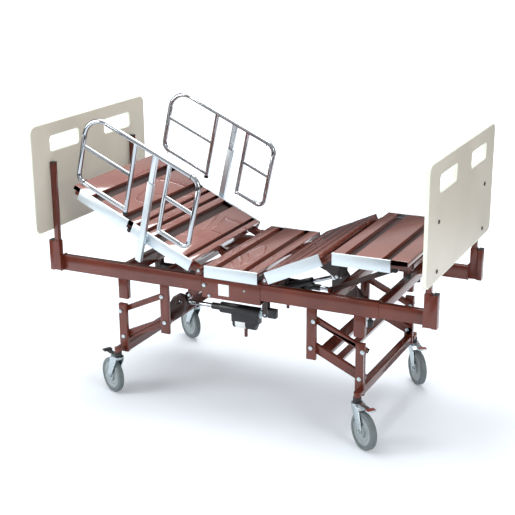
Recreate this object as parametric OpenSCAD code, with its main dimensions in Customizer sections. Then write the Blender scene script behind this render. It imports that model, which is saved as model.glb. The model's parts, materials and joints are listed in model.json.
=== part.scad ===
// Adjustable bed with a raised backrest, bent knee section, lifting leg sets and four casters.
// Millimetres. +X from head to foot, +Z up, origin on the floor under the middle of the bed.

/* [Deck pose] */
// Backrest angle above flat
back_angle = 25; // [0:1:55]
// Thigh section angle above flat
thigh_angle = 25; // [0:1:35]
// Height of the section hinge pins above the floor
hinge_z = 760; // [755:1:770]

/* [Lift legs] */
// Length of the lower lift arms, pivot to pivot
arm_len = 286; // [270:1:300]
// Angle of the arms below level
arm_angle = 24.6; // [20:0.2:40]
// Height of the lower frame pivots above the floor
pivot_z = 443; // [438:1:450]

/* [Casters] */
// Wheel radius
wheel_r = 96; // [92:1:105]
// Wheel width
wheel_w = 32; // [26:1:34]
// Distance from the swivel axis back to the axle
trail = 65; // [55:1:70]

/* [Bed ends] */
// Width of the head and foot panels
panel_w = 1114; // [1060:2:1114]
// Height of the lower edge of the panels
panel_z0 = 884; // [870:1:900]
// Height of the upper edge of the panels
panel_z1 = 1462; // [1400:1:1480]
// Panel thickness
panel_t = 18; // [15:1:20]

/* [Side rails] */
// Radius of the chromed guard tube
guard_r = 13; // [11:0.5:14]
// Sideways position of the guard rails
guard_y = 440; // [436:1:446]

/* [Hidden] */
$fn = 48;
e = 0.01;
brown = [0.42, 0.2, 0.16];
dark = [0.12, 0.1, 0.1];
zinc = [0.78, 0.82, 0.84];
chrome_c = [0.8, 0.8, 0.82];
putty = [0.72, 0.7, 0.64];
grey = [0.42, 0.45, 0.46];
rail_y0 = 347;
rail_y1 = 387;
rail_z0 = 650;
rail_z1 = 734;
back_x = -185;
thigh_x = 190;
head_px = -393;
turn_x = 25.5;
knee_u = 378;
deck_lo = -22;
deck_hi = 40;
knee_x = thigh_x + knee_u * cos(thigh_angle);
knee_z = hinge_z + knee_u * sin(thigh_angle);
arm_dx = arm_len * cos(arm_angle);
arm_dz = arm_len * sin(arm_angle);
leg_x = head_px - arm_dx;
leg_z = pivot_z - arm_dz;
link_dx = -14;
link_dz = 143;
stem_y = 435;
stem_x = leg_x - 10;
rake = 0.222;
pin_r = 6;
lift_z = 528;
pull_z = 610;
knee_ax = 100;
knee_az = 585;
knee_bu = 193;
knee_bv = -154;
knee_bx = thigh_x + knee_bu * cos(thigh_angle) - knee_bv * sin(thigh_angle);
knee_bz = hinge_z + knee_bu * sin(thigh_angle) + knee_bv * cos(thigh_angle);
knee_len = sqrt(pow(knee_bx - knee_ax, 2) + pow(knee_bz - knee_az, 2));
knee_dir = atan2(knee_bz - knee_az, knee_bx - knee_ax);

// Straight box between two corners
module box(x0, x1, y0, y1, z0, z1) {
  translate([x0, y0, z0]) cube([x1 - x0, y1 - y0, z1 - z0]);
}

// The part and its mirror image on the other side of the bed
module both() {
  children();
  mirror([0, 1, 0]) children();
}

// Round bar lying across the bed
module bar_y(x, y0, y1, z, r) {
  translate([x, y0, z]) rotate([-90, 0, 0]) cylinder(h = y1 - y0, r = r);
}

// Hollow rectangular tube along X
module tube_x(x0, x1, y0, y1, z0, z1, w) {
  difference() {
    box(x0, x1, y0, y1, z0, z1);
    box(x0 - 1, x1 + 1, y0 + w, y1 - w, z0 + w, z1 - w);
  }
}

// Hollow rectangular tube along Y
module tube_y(x0, x1, y0, y1, z0, z1, w) {
  difference() {
    box(x0, x1, y0, y1, z0, z1);
    box(x0 + w, x1 - w, y0 - 1, y1 + 1, z0 + w, z1 - w);
  }
}

// Hollow rectangular tube along Z
module tube_z(x0, x1, y0, y1, z0, z1, w) {
  difference() {
    box(x0, x1, y0, y1, z0, z1);
    box(x0 + w, x1 - w, y0 + w, y1 - w, z0 - 1, z1 + 1);
  }
}

// Places a child drawn along the flat backrest at the backrest angle
module on_back() {
  translate([back_x, 0, hinge_z]) rotate([0, back_angle, 0]) children();
}

// Places a child drawn along the flat thigh section at its angle
module on_thigh() {
  translate([thigh_x, 0, hinge_z]) rotate([0, -thigh_angle, 0]) children();
}

// Places a child drawn from the knee hinge on the level calf section
module on_calf() {
  translate([knee_x, 0, knee_z]) children();
}

// Turns a head-end assembly round to make its foot-end twin
module foot_turn() {
  translate([2 * turn_x, 0, 0]) rotate([0, 0, 180]) children();
}

// Pressed sheet slat with two turned-down edges
module slat(x0, x1, y) {
  box(x0, x1, -y, y, deck_hi - 3, deck_hi);
  box(x0, x0 + 3, -y, y, deck_hi - 25, deck_hi - 3 + e);
  box(x1 - 3, x1, -y, y, deck_hi - 25, deck_hi - 3 + e);
}

// Recessed sheet that closes the channels between the slats of one section
module pan(x0, x1) {
  box(x0, x1, -396, 396, 13, 15 + e);
}

// ---- frame ----

module side_rails() {
  color(brown) both() tube_x(-1019, 794, rail_y0, rail_y1, rail_z0, rail_z1, 3);
}

module rail_sleeves() {
  color(brown) both() difference() {
    box(-163, 168, rail_y0 - 4, rail_y1 + 4, rail_z0 - 26, rail_z1 + 4);
    box(-164, 169, rail_y0, rail_y1, rail_z0 - 22, rail_z1);
    bar_y(-148, rail_y0 - 5, rail_y0 + 1, 691, 5);
  }
}

module frame_cross_tubes() {
  color(brown) {
    tube_y(-665, -625, -rail_y0, rail_y0, 655, 725, 3);
    tube_y(-413, -373, -rail_y0, rail_y0, 655, 725, 3);
    tube_y(-90, -50, -343, 343, 660, 720, 3);
    tube_y(115, 155, -343, 343, 660, 720, 3);
    tube_y(484, 524, -rail_y0, rail_y0, 650, 700, 3);
    tube_y(745, 790, -rail_y0, rail_y0, 650, 700, 3);
  }
}

// Corner bracket: upright socket for a bed-end post with a capped outer tube
module corner_bracket(ry1) {
  difference() {
    box(1023, 1059, 376, 412, 655, 821);
    box(1026.7, 1055.3, 379.7, 408.3, 662, 822);
  }
  box(1059, 1063, 374, 412, 655, 815);
  tube_z(1063, 1089, 372, 412, 652, 819, 2.5);
  box(1064, 1088, 373, 411, 819, 823);
  box(1019, 1023, ry1, 412, rail_z0, 740);
}

module head_corner_brackets() {
  color(brown) rotate([0, 0, 180]) both() corner_bracket(rail_y0);
}

// Posts that hang from the rails and carry the fixed lift pivots, with the parking stubs
module hanger_posts() {
  color(brown) {
    both() hanger_pair();
    foot_turn() both() hanger_pair();
  }
}

module hanger_pair() {
  difference() {
    tube_z(head_px - 25, head_px + 25, 366, rail_y1, 380, rail_z0, 3);
    bar_y(head_px, 360, 390, pivot_z, pin_r + 0.05);
    bar_y(head_px + link_dx, 360, 390, pivot_z + link_dz, pin_r + 0.05);
  }
  tube_z(leg_x - 20, leg_x + 36, 352, rail_y1, 540, rail_z0, 3);
}

// Fixed bolts the lift arms and links turn on, with the bolts that clamp the rail sleeves
module frame_bolts() {
  color(zinc) {
    both() lift_bolt_pair();
    foot_turn() both() lift_bolt_pair();
    both() {
      bar_y(-148, rail_y1 + 4, rail_y1 + 10, 691, 10);
      bar_y(80, rail_y1 + 4, rail_y1 + 7, 690, 5);
      bar_y(-120, rail_y1 + 4, rail_y1 + 9, 638, 8);
    }
  }
}

module lift_bolt_pair() {
  for (p = [[head_px, pivot_z], [head_px + link_dx, pivot_z + link_dz]]) {
    bar_y(p[0], 340, rail_y1 + 1, p[1], pin_r);
    bar_y(p[0], rail_y1, rail_y1 + 6, p[1], 11);
    bar_y(p[0], 338, 344.4, p[1], 10);
  }
}

// Upright plates and pins that the moving deck sections and the calf links hinge on
module deck_hinge_plates() {
  color(brown) both() for (x = [back_x, thigh_x]) {
    box(x - 18, x + 18, 373, 380, rail_z1, hinge_z + 2);
    bar_y(x, 373, 380, hinge_z, 18);
    bar_y(x, 338, 386, hinge_z, 8);
  }
  color(brown) both() {
    box(486, 514, 262, 272, 700, 722);
    bar_y(500, 262, 272, 722, 14);
    bar_y(500, 262, 290, 722, pin_r);
    bar_y(500, 285.4, 290, 722, 10);
  }
}

module seat_side_plates() {
  color(zinc) both() {
    box(-140, 160, 404, 408, 738, 800);
    box(-140, 160, 396, 404, 797, 800);
  }
}

module seat_slats() {
  color(brown) translate([0, 0, hinge_z]) {
    pan(-138, 158);
    slat(-138, -85, 396);
    slat(-48, 70, 396);
    slat(104, 158, 396);
    for (s = [-1, 1], x = [-112, 12, 131])
      box(x - 12, x + 12, s * 367 - 13, s * 367 + 13, deck_lo, deck_hi - 3);
  }
}

module control_box() {
  color(dark) {
    box(-45, 60, 60, 170, 672, 722);
    box(-50, -45, 70, 160, 664, 722);
  }
}

// Lugs welded under the cross tubes that hold the actuators
module actuator_anchors() {
  color(dark) {
    for (y = [-266, -239]) lug(135, y, y + 5, lift_z, 660, 16);
    for (y = [234, 261]) lug(-84, y, y + 5, lift_z, 660, 16);
    for (y = [-22, 17]) lug(-645, y, y + 5, pull_z, 655, 18);
    for (y = [-22, 17]) {
      bar_y(knee_ax, y, y + 5, knee_az, 16);
      translate([0, y + 5, 0]) rotate([90, 0, 0]) linear_extrude(5)
        polygon([[knee_ax - 16, knee_az], [knee_ax + 16, knee_az], [154, 660], [116, 660]]);
    }
    bar_y(knee_ax, -26, 26, knee_az, pin_r);
  }
}

module lug(x, y0, y1, z, top, r) {
  difference() {
    union() {
      bar_y(x, y0, y1, z, r);
      box(x - r, x + r, y0, y1, z, top);
    }
    bar_y(x, y0 - 1, y1 + 1, z, pin_r + 0.05);
  }
}

// Sprung knobs that lock the foot extension tubes
module extension_knobs() {
  color(dark) both() {
    translate([747, 367, 632]) cylinder(h = 18, r = 9);
    translate([747, 367, 600]) cylinder(h = 32, r = 15);
  }
}

// ---- foot extension ----

module extension_tubes() {
  color(brown) both() tube_x(560, 1019, 350.3, 383.7, 655, 729, 3);
}

module foot_corner_brackets() {
  color(brown) both() corner_bracket(350.3);
}

// ---- bed ends ----

module end_panel() {
  r = 42;
  w = panel_w / 2;
  difference() {
    union() {
      box(1055, 1055 + panel_t, -w + r, w - r, panel_z0, panel_z1);
      box(1055, 1055 + panel_t, -w, w, panel_z0 + r, panel_z1 - r);
      for (y = [-w + r, w - r], z = [panel_z0 + r, panel_z1 - r])
        translate([1055, y, z]) rotate([0, 90, 0]) cylinder(h = panel_t, r = r);
    }
    for (s = [-1, 1]) {
      for (y = [145, 375], z = [1324, 1368])
        translate([1054, s * y, z]) rotate([0, 90, 0]) cylinder(h = panel_t + 2, r = 18);
      box(1054, 1056 + panel_t, s * 260 - 115, s * 260 + 115, 1306, 1386);
      box(1054, 1056 + panel_t, s * 260 - 133, s * 260 + 133, 1324, 1368);
    }
    for (y = [-394, 394], z = [932, 1170])
      translate([1054, y, z]) rotate([0, 90, 0]) cylinder(h = panel_t + 2, r = 5.05);
  }
}

module end_posts(top) {
  for (y = [-394, 394]) {
    difference() {
      box(1027, 1054.9, y - 14, y + 14, 664, top);
      box(1030, 1052, y - 11, y + 11, 663, top - 6);
    }
    translate([1026, y - 15, top]) cube([28.9, 30, 5]);
  }
}

module end_screws() {
  for (y = [-394, 394], z = [932, 1170]) {
    translate([1055, y, z]) rotate([0, 90, 0]) cylinder(h = panel_t, r = 5);
    translate([1055 + panel_t, y, z]) rotate([0, 90, 0]) cylinder(h = 4, r = 10);
  }
}

module headboard_panel() { color(putty) rotate([0, 0, 180]) end_panel(); }
module headboard_posts() { color(brown) rotate([0, 0, 180]) end_posts(1248); }
module headboard_screws() { color(zinc) rotate([0, 0, 180]) end_screws(); }
module footboard_panel() { color(putty) end_panel(); }
module footboard_posts() { color(brown) end_posts(1205); }
module footboard_screws() { color(zinc) end_screws(); }

// ---- backrest ----

module backrest_frame() {
  color(brown) on_back() {
    both() difference() {
      union() {
        tube_x(-815, -18, 340, 370, deck_lo, 13, 2.5);
        box(-18, 0, 340, 370, -16, 13);
        bar_y(0, 340, 370, 0, 16);
      }
      bar_y(0, 339, 371, 0, 8.08);
    }
    tube_y(-100, -60, -340, 340, deck_lo, 8, 2.5);
    tube_y(-460, -425, -340, 340, deck_lo, 8, 2.5);
    tube_y(-812, -780, -340, 340, deck_lo, 8, 2.5);
    backrest_lever();
  }
}

// Slotted plates under the backrest that the pulling rod works on
module backrest_lever() {
  for (y = [-16, 8]) difference() {
    translate([0, y + 8, 0]) rotate([90, 0, 0]) linear_extrude(8)
      polygon([[-105, deck_lo], [-56, deck_lo], [20, deck_lo + 4], [104, -158], [92, -184], [62, -180],
        [30, -140], [-20, -70]]);
    rotate([0, 62.5, 0]) {
      for (r = [148, 172]) bar_y(r, y - 1, y + 9, 0, 9.8);
      box(148, 172, y - 1, y + 9, -9.8, 9.8);
    }
  }
}

module backrest_slats() {
  color(brown) on_back() {
    pan(-818, -46);
    slat(-818, -705, 396);
    slat(-643, -500, 396);
    slat(-446, -412, 396);
    slat(-392, -350, 396);
    slat(-328, -292, 396);
    slat(-228, -96, 396);
    slat(-76, -46, 396);
    for (s = [-1, 1], u = [762, 572, 429, 371, 310, 162, 61])
      box(-u - 10, -u + 10, s * 355 - 13, s * 355 + 13, 13, deck_hi - 3);
  }
}

module backrest_side_plates() {
  color(zinc) on_back() both() {
    for (x = [[-772, -452], [-420, -44]]) {
      box(x[0], x[1], 404, 408, deck_lo, deck_hi);
      box(x[0], x[1], 396, 404, deck_hi - 3, deck_hi);
    }
  }
}

// Raked sleeves that hold the guard rail posts
module guard_sleeves() {
  color(chrome_c) on_back() both() difference() {
    union() {
      raked_bar(-109, 312, 17, 13);
      for (v = [-14, 24]) box(-(350 + (v - 104) * rake) - 16, -(350 + (v - 104) * rake) + 16,
        408, guard_y - 12, v - 7, v + 7);
    }
    raked_bar(-110, 313, 14.4, 10.4);
  }
}

// Rectangular bar following the rake of the guard rail, from height v0 to v1
module raked_bar(v0, v1, hx, hy) {
  translate([0, guard_y + hy, 0]) rotate([90, 0, 0]) linear_extrude(2 * hy)
    polygon([[-(350 + (v0 - 104) * rake) - hx, v0], [-(350 + (v0 - 104) * rake) + hx, v0],
      [-(350 + (v1 - 104) * rake) + hx, v1], [-(350 + (v1 - 104) * rake) - hx, v1]]);
}

// ---- guard rails ----

// Round tube through a list of points with bent corners, drawn in the XY plane
module bent_tube(pts, radii, r) {
  n = len(pts);
  for (i = [0 : n - 2]) {
    a = pts[i];
    b = pts[i + 1];
    d = (b - a) / norm(b - a);
    ta = i == 0 ? 0 : trim(pts, radii, i);
    tb = i == n - 2 ? 0 : trim(pts, radii, i + 1);
    p = a + d * ta;
    translate([p[0], p[1], 0]) rotate([0, 0, atan2(d[1], d[0])]) rotate([0, 90, 0])
      cylinder(h = norm(b - a) - ta - tb, r = r);
  }
  for (i = [1 : n - 2]) {
    d0 = (pts[i] - pts[i - 1]) / norm(pts[i] - pts[i - 1]);
    d1 = (pts[i + 1] - pts[i]) / norm(pts[i + 1] - pts[i]);
    turn = d0[0] * d1[1] - d0[1] * d1[0] > 0 ? 1 : -1;
    c = pts[i] - d0 * trim(pts, radii, i) + turn * radii[i] * [-d0[1], d0[0]];
    ang = acos(d0[0] * d1[0] + d0[1] * d1[1]);
    start = atan2(-turn * d0[0], turn * d0[1]) + (turn < 0 ? -ang : 0);
    translate([c[0], c[1], 0]) rotate([0, 0, start]) rotate_extrude(angle = ang)
      translate([radii[i], 0]) circle(r = r, $fn = 24);
  }
}

function trim(pts, radii, i) =
  let(d0 = (pts[i] - pts[i - 1]) / norm(pts[i] - pts[i - 1]),
      d1 = (pts[i + 1] - pts[i]) / norm(pts[i + 1] - pts[i]))
  radii[i] * tan(acos(d0[0] * d1[0] + d0[1] * d1[1]) / 2);

// Point on the guard rail plane: u along the deck at the lower bar, v above the hinge line
function gp(u, v) = [-(u + (v - 104) * rake), v];

module guard_loop() {
  on_back() translate([0, guard_y, 0]) rotate([90, 0, 0]) {
    bent_tube([gp(474, 104), gp(786, 104), gp(786, 462), gp(79, 462), gp(79, 104), gp(262, 104)],
      [0, 45, 96, 62, 36, 0], guard_r);
    for (u = [474, 262]) strut(gp(u, 92), gp(u, 462), guard_r - 1);
    strut(gp(474, 287), gp(784, 287), guard_r - 2);
    strut(gp(81, 287), gp(262, 287), guard_r - 2);
  }
  on_back() raked_bar(70, 455, 14, 10);
}

// Straight round bar between two points of the XY plane
module strut(a, b, r) {
  translate([a[0], a[1], 0]) rotate([0, 0, atan2(b[1] - a[1], b[0] - a[0])]) rotate([0, 90, 0])
    cylinder(h = norm(b - a), r = r, $fn = 32);
}

module near_guard_rail() { color(chrome_c) mirror([0, 1, 0]) guard_loop(); }
module far_guard_rail() { color(chrome_c) guard_loop(); }

// ---- thigh ----

module thigh_frame() {
  color(brown) on_thigh() {
    both() difference() {
      union() {
        tube_x(18, 355, 340, 370, deck_lo, 13, 2.5);
        box(0, 18, 340, 370, -16, 13);
        box(355, knee_u, 340, 370, -16, 13);
        bar_y(0, 340, 370, 0, 16);
        bar_y(knee_u, 340, 370, 0, 16);
      }
      bar_y(0, 339, 371, 0, 8.08);
      bar_y(knee_u, 339, 371, 0, 8.08);
    }
    tube_y(60, 95, -340, 340, deck_lo, 8, 2.5);
    tube_y(260, 295, -340, 340, deck_lo, 8, 2.5);
  }
}

// Plates hanging under the thigh section that the knee actuator pushes
module knee_lever() {
  color(dark) on_thigh() for (y = [-16, 8]) difference() {
    union() {
      translate([0, y + 8, 0]) rotate([90, 0, 0]) linear_extrude(8)
        polygon([[70, deck_lo], [322, deck_lo], [293, -50], [271, -108], [242, -158], [209, -166],
          [177, knee_bv], [150, -110]]);
      bar_y(knee_bu, y, y + 8, knee_bv, 16);
    }
    bar_y(knee_bu, y - 1, y + 9, knee_bv, pin_r + 0.05);
  }
  color(zinc) on_thigh() {
    bar_y(knee_bu, -19, 19, knee_bv, pin_r);
    for (y = [-20, 16]) bar_y(knee_bu, y, y + 4, knee_bv, 10);
  }
}

module thigh_slats() {
  color(brown) on_thigh() {
    pan(27, 343);
    slat(27, 80, 396);
    slat(105, 180, 396);
    slat(205, 270, 396);
    slat(292, 343, 396);
    for (s = [-1, 1], u = [53, 142, 237, 318])
      box(u - 10, u + 10, s * 355 - 13, s * 355 + 13, 13, deck_hi - 3);
  }
}

module thigh_side_plates() {
  color(zinc) on_thigh() both() {
    box(25, 345, 404, 408, deck_lo, deck_hi);
    box(25, 345, 396, 404, deck_hi - 3, deck_hi);
  }
}

// ---- calf ----

// Calf frame with its link lugs and the rubber feet it rests on when flat
module calf_frame() {
  color(brown) on_calf() {
    both() {
      tube_x(16, 404, 307, 337, deck_lo, 13, 2.5);
      box(0, 16, 307, 337, -16, 13);
      bar_y(0, 307, 337, 0, 16);
      bar_y(0, 330, 373, 0, 8);
    }
    tube_y(60, 95, -307, 307, deck_lo, 8, 2.5);
    tube_y(368, 400, -307, 307, deck_lo, 8, 2.5);
    both() calf_lug();
    for (x = [239, 384], s = [-1, 1]) {
      translate([x, s * 322, -44]) cylinder(h = 44 + deck_lo + 1, r = 5);
      translate([x, s * 322, -66]) cylinder(h = 22, r = 12);
    }
  }
}

// Lug and pin under the calf frame that ride on a calf link
module calf_lug() {
  x = 500 - thigh_x;
  box(x - 16, x + 16, 288, 307, -38, 8);
  bar_y(x, 288, 307, -38, 16);
  bar_y(x, 270, 290, -38, pin_r);
  bar_y(x, 268, 272.4, -38, 10);
}

module calf_slats() {
  color(brown) on_calf() {
    pan(27, 404);
    slat(27, 85, 396);
    slat(138, 274, 396);
    slat(318, 404, 396);
    for (s = [-1, 1], u = [56, 206, 361])
      box(u - 10, u + 10, s * 322 - 13, s * 322 + 13, 13, deck_hi - 3);
  }
}

module calf_side_plates() {
  color(zinc) on_calf() both() {
    box(25, 320, 404, 408, deck_lo, deck_hi);
    box(25, 320, 396, 404, deck_hi - 3, deck_hi);
  }
}

// Parallel links that keep the calf section level
module calf_links() {
  color(dark) both() translate([500, 0, 722]) rotate([0, -thigh_angle, 0]) difference() {
    union() {
      box(0, knee_u, 274, 284, -13, 13);
      for (x = [0, knee_u]) bar_y(x, 274, 284, 0, 13);
    }
    bar_y(0, 273, 285, 0, pin_r + 0.08);
    bar_y(knee_u, 273, 285, 0, 7.2);
  }
}

// ---- lift legs ----

// Lower arms with torque tube and lever, drawn at the head end
module lower_arms(second) {
  translate([head_px, 0, pivot_z]) rotate([0, -arm_angle, 0]) {
    both() difference() {
      union() {
        box(-arm_len, 0, 345, 365.5, -23, 23);
        bar_y(0, 345, 365.5, 0, 23);
        bar_y(-arm_len, 345, 365.5, 0, 23);
      }
      bar_y(0, 344, 366, 0, pin_r + 0.1);
      bar_y(-arm_len, 344, 366, 0, pin_r + 0.1);
    }
    tube_y(-90, -36, -345, 345, -24, 24, 3);
    if (second) tube_y(-158, -124, -345, 345, -18, 18, 3);
  }
  for (y = [-265, -243]) translate([head_px, 0, pivot_z]) difference() {
    translate([0, y + 8, 0]) rotate([90, 0, 0]) linear_extrude(8)
      polygon([[-64, 4], [-44, 58], [-16, 104], [14, 122], [52, 116], [68, 86], [52, 34], [14, -16],
        [-26, -28], [-60, -30]]);
    rotate([0, 18, 0]) {
      for (z = [83, 94]) bar_y(0, y - 1, y + 9, z, 7.6);
      box(-7.6, 7.6, y - 1, y + 9, 83, 94);
    }
  }
}

module upper_links() {
  both() translate([head_px + link_dx, 0, pivot_z + link_dz]) rotate([0, -arm_angle, 0]) difference() {
    union() {
      box(-arm_len, 0, 345, 365.5, -15, 15);
      for (x = [0, -arm_len]) bar_y(x, 345, 365.5, 0, 15);
    }
    bar_y(0, 344, 366, 0, pin_r + 0.1);
    bar_y(-arm_len, 344, 366, 0, pin_r + 0.6);
  }
}

// Leg uprights with their bolts, floor cross tube and collared caster sockets, at the head end
module leg_frame() {
  both() {
    tube_z(leg_x - 24, leg_x + 24, 366, rail_y1, 236, 510, 3);
    for (p = [[leg_x, leg_z], [leg_x + link_dx, leg_z + link_dz]]) {
      bar_y(p[0], 340, rail_y1 + 1, p[1], pin_r);
      bar_y(p[0], rail_y1, rail_y1 + 6, p[1], 11);
      bar_y(p[0], 338, 344.4, p[1], 10);
    }
    difference() {
      union() {
        translate([stem_x, stem_y, 250]) cylinder(h = 26, r = 18);
        translate([stem_x, stem_y, 224]) cylinder(h = 26.5, r = 21);
        box(stem_x - 18, stem_x + 18, rail_y1, stem_y, 252, 272);
      }
      translate([stem_x, stem_y, 223]) cylinder(h = 46, r = 8.08);
    }
  }
  tube_y(leg_x - 20, leg_x + 20, -366, 366, 236, 280, 3);
}

module head_lower_arms() { color(brown) lower_arms(false); }
module foot_lower_arms() { color(brown) foot_turn() lower_arms(true); }
module head_upper_links() { color(brown) upper_links(); }
module foot_upper_links() { color(brown) foot_turn() upper_links(); }
module head_leg_frame() { color(brown) leg_frame(); }
module foot_leg_frame() { color(brown) foot_turn() leg_frame(); }

// ---- casters ----

// Swivel position and heading of each caster: x, y, heading of the trail
places = [[stem_x, -stem_y, 152], [stem_x, stem_y, 150],
  [2 * turn_x - stem_x, -stem_y, 324], [2 * turn_x - stem_x, stem_y, 312]];

module at_caster(i) {
  translate([places[i][0], places[i][1], 0]) rotate([0, 0, places[i][2]]) children();
}

// Fork with stem, crown and two tapering legs
module caster_fork(i) {
  color(zinc) at_caster(i) {
    translate([0, 0, 216]) cylinder(h = 50, r = 8);
    translate([0, 0, 216]) cylinder(h = 7.6, r = 30);
    box(0, 44, -26, 26, 213, 217);
    for (s = [-1, 1]) {
      translate([0, s * 23.5 + 2.5, 0]) rotate([90, 0, 0]) {
        linear_extrude(5) polygon([[-18, 217], [44, 217], [trail + 14, wheel_r + 4],
          [trail - 14, wheel_r - 2], [-12, 196]]);
        translate([trail, wheel_r, 0]) cylinder(h = 5, r = 15);
      }
      difference() {
        box(34, 46, s * 17 - 2, s * 17 + 2, 213, 229);
        bar_y(40, -20, 20, 224, 4.08);
      }
    }
    bar_y(trail, -25, 25, wheel_r, 6);
    for (y = [-30, 26]) bar_y(trail, y, y + 4, wheel_r, 9);
  }
}

module caster_wheel(i) {
  color(grey) at_caster(i) translate([trail, 0, wheel_r]) rotate([90, 0, 0]) difference() {
    union() {
      translate([0, 0, -wheel_w / 2]) cylinder(h = wheel_w, r = wheel_r - 22);
      translate([0, 0, -19]) cylinder(h = 38, r = 16);
      rotate_extrude($fn = 64) polygon([[wheel_r - 26, -13], [wheel_r - 8, -wheel_w / 2],
        [wheel_r - 2, -wheel_w / 2 + 5], [wheel_r, -6], [wheel_r, 6],
        [wheel_r - 2, wheel_w / 2 - 5], [wheel_r - 8, wheel_w / 2], [wheel_r - 26, 13]]);
    }
    translate([0, 0, -20]) cylinder(h = 40, r = 6.08);
    for (s = [-1, 1]) translate([0, 0, s * 21]) rotate_extrude()
      polygon([[24, -11], [wheel_r - 30, -11], [wheel_r - 30, 11], [24, 11]]);
  }
}

// Brake pedal on a pin ahead of the crown
module brake_pedal(i) {
  color(dark) at_caster(i) {
    box(36, 116, -14, 14, 221, 227);
    box(104, 132, -24, 24, 221, 230);
    bar_y(40, -19.5, 19.5, 224, 4);
  }
}

module caster_fork_1() { caster_fork(0); }
module caster_fork_2() { caster_fork(1); }
module caster_fork_3() { caster_fork(2); }
module caster_fork_4() { caster_fork(3); }
module caster_wheel_1() { caster_wheel(0); }
module caster_wheel_2() { caster_wheel(1); }
module caster_wheel_3() { caster_wheel(2); }
module caster_wheel_4() { caster_wheel(3); }
module brake_pedal_1() { brake_pedal(0); }
module brake_pedal_2() { brake_pedal(1); }
module brake_pedal_3() { brake_pedal(2); }
module brake_pedal_4() { brake_pedal(3); }

// ---- actuators ----

// Lift actuator housing drawn at the head end: tube, motor and clevis block
module lift_housing() {
  translate([0, -250, lift_z]) difference() {
    union() {
      translate([-125, 0, 0]) rotate([0, 90, 0]) cylinder(h = 232, r = 29);
      translate([-178, 0, 0]) rotate([0, 90, 0]) cylinder(h = 54, r = 18);
      translate([-50, 8, -68]) rotate([0, 90, 0]) cylinder(h = 126, r = 33);
      translate([14, 8, -146]) cylinder(h = 48, r = 9);
      box(-56, 98, -24, 26, -62, 4);
      box(106, 152, -10.5, 10.5, -14, 14);
      box(151, 196, -16, 16, -14, 32);
    }
    translate([-179, 0, 0]) rotate([0, 90, 0]) cylinder(h = 275, r = 12.4);
    bar_y(135, -20, 20, 0, pin_r + 0.05);
  }
  bar_y(135, -269, -231, lift_z, pin_r);
}

// Lift rod with a cross pin that works in the lever slots, drawn at the head end
module lift_rod() {
  tip = head_px + (lift_z - pivot_z) * tan(18);
  translate([0, -250, lift_z]) {
    translate([tip + 51, 0, 0]) rotate([0, 90, 0]) cylinder(h = 60 - tip - 51, r = 12);
    box(tip - 14, tip + 54, -6, 6, -13, 13);
    bar_y(tip, -17, 17, 0, pin_r);
  }
}

module head_lift_actuator() { color(dark) lift_housing(); }
module head_lift_rod() { color(chrome_c) lift_rod(); }
module foot_lift_actuator() { color(dark) foot_turn() lift_housing(); }
module foot_lift_rod() { color(chrome_c) foot_turn() lift_rod(); }

module backrest_actuator() {
  color(dark) translate([0, 0, pull_z]) difference() {
    union() {
      translate([-624, 0, 0]) rotate([0, 90, 0]) cylinder(h = 294, r = 24);
      box(-661, -622, -15, 15, -15, 15);
      translate([-615, 0, -56]) rotate([0, 90, 0]) cylinder(h = 130, r = 34);
      box(-606, -520, -20, 20, -50, 0);
    }
    translate([-612, 0, 0]) rotate([0, 90, 0]) cylinder(h = 300, r = 12.4);
    bar_y(-645, -20, 20, 0, pin_r + 0.05);
  }
  color(dark) bar_y(-645, -24, 24, pull_z, pin_r);
}

module backrest_rod() {
  tip = back_x + (hinge_z - pull_z) * tan(27.5 - back_angle);
  color(chrome_c) translate([0, 0, pull_z]) {
    translate([tip - 270, 0, 0]) rotate([0, 90, 0]) cylinder(h = 222, r = 12);
    box(tip - 52, tip + 14, -6, 6, -13, 13);
    bar_y(tip, -18, 18, 0, 7);
  }
}

// Places a child drawn along X at the knee actuator's pivot and direction
module on_knee() {
  translate([knee_ax, 0, knee_az]) rotate([0, -knee_dir, 0]) children();
}

module knee_actuator() {
  color(dark) on_knee() {
    difference() {
      union() {
        translate([58, 0, 0]) rotate([0, 90, 0]) cylinder(h = 142, r = 23);
        box(0, 60, -15, 15, -14, 14);
        bar_y(0, -15, 15, 0, 14);
        translate([34, 0, -54]) rotate([0, 90, 0]) cylinder(h = 112, r = 32);
        box(40, 130, -20, 20, -48, 0);
      }
      translate([64, 0, 0]) rotate([0, 90, 0]) cylinder(h = 140, r = 11.4);
      bar_y(0, -20, 20, 0, pin_r + 0.08);
    }
  }
}

module knee_rod() {
  color(chrome_c) on_knee() {
    translate([136, 0, 0]) rotate([0, 90, 0]) cylinder(h = knee_len - 172, r = 11);
    difference() {
      box(knee_len - 38, knee_len + 20, -6, 6, -16, 16);
      for (x = [knee_len - 4.5, knee_len + 4.5]) bar_y(x, -7, 7, 0, pin_r + 2);
      box(knee_len - 4.5, knee_len + 4.5, -7, 7, -pin_r - 2, pin_r + 2);
    }
  }
}

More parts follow.
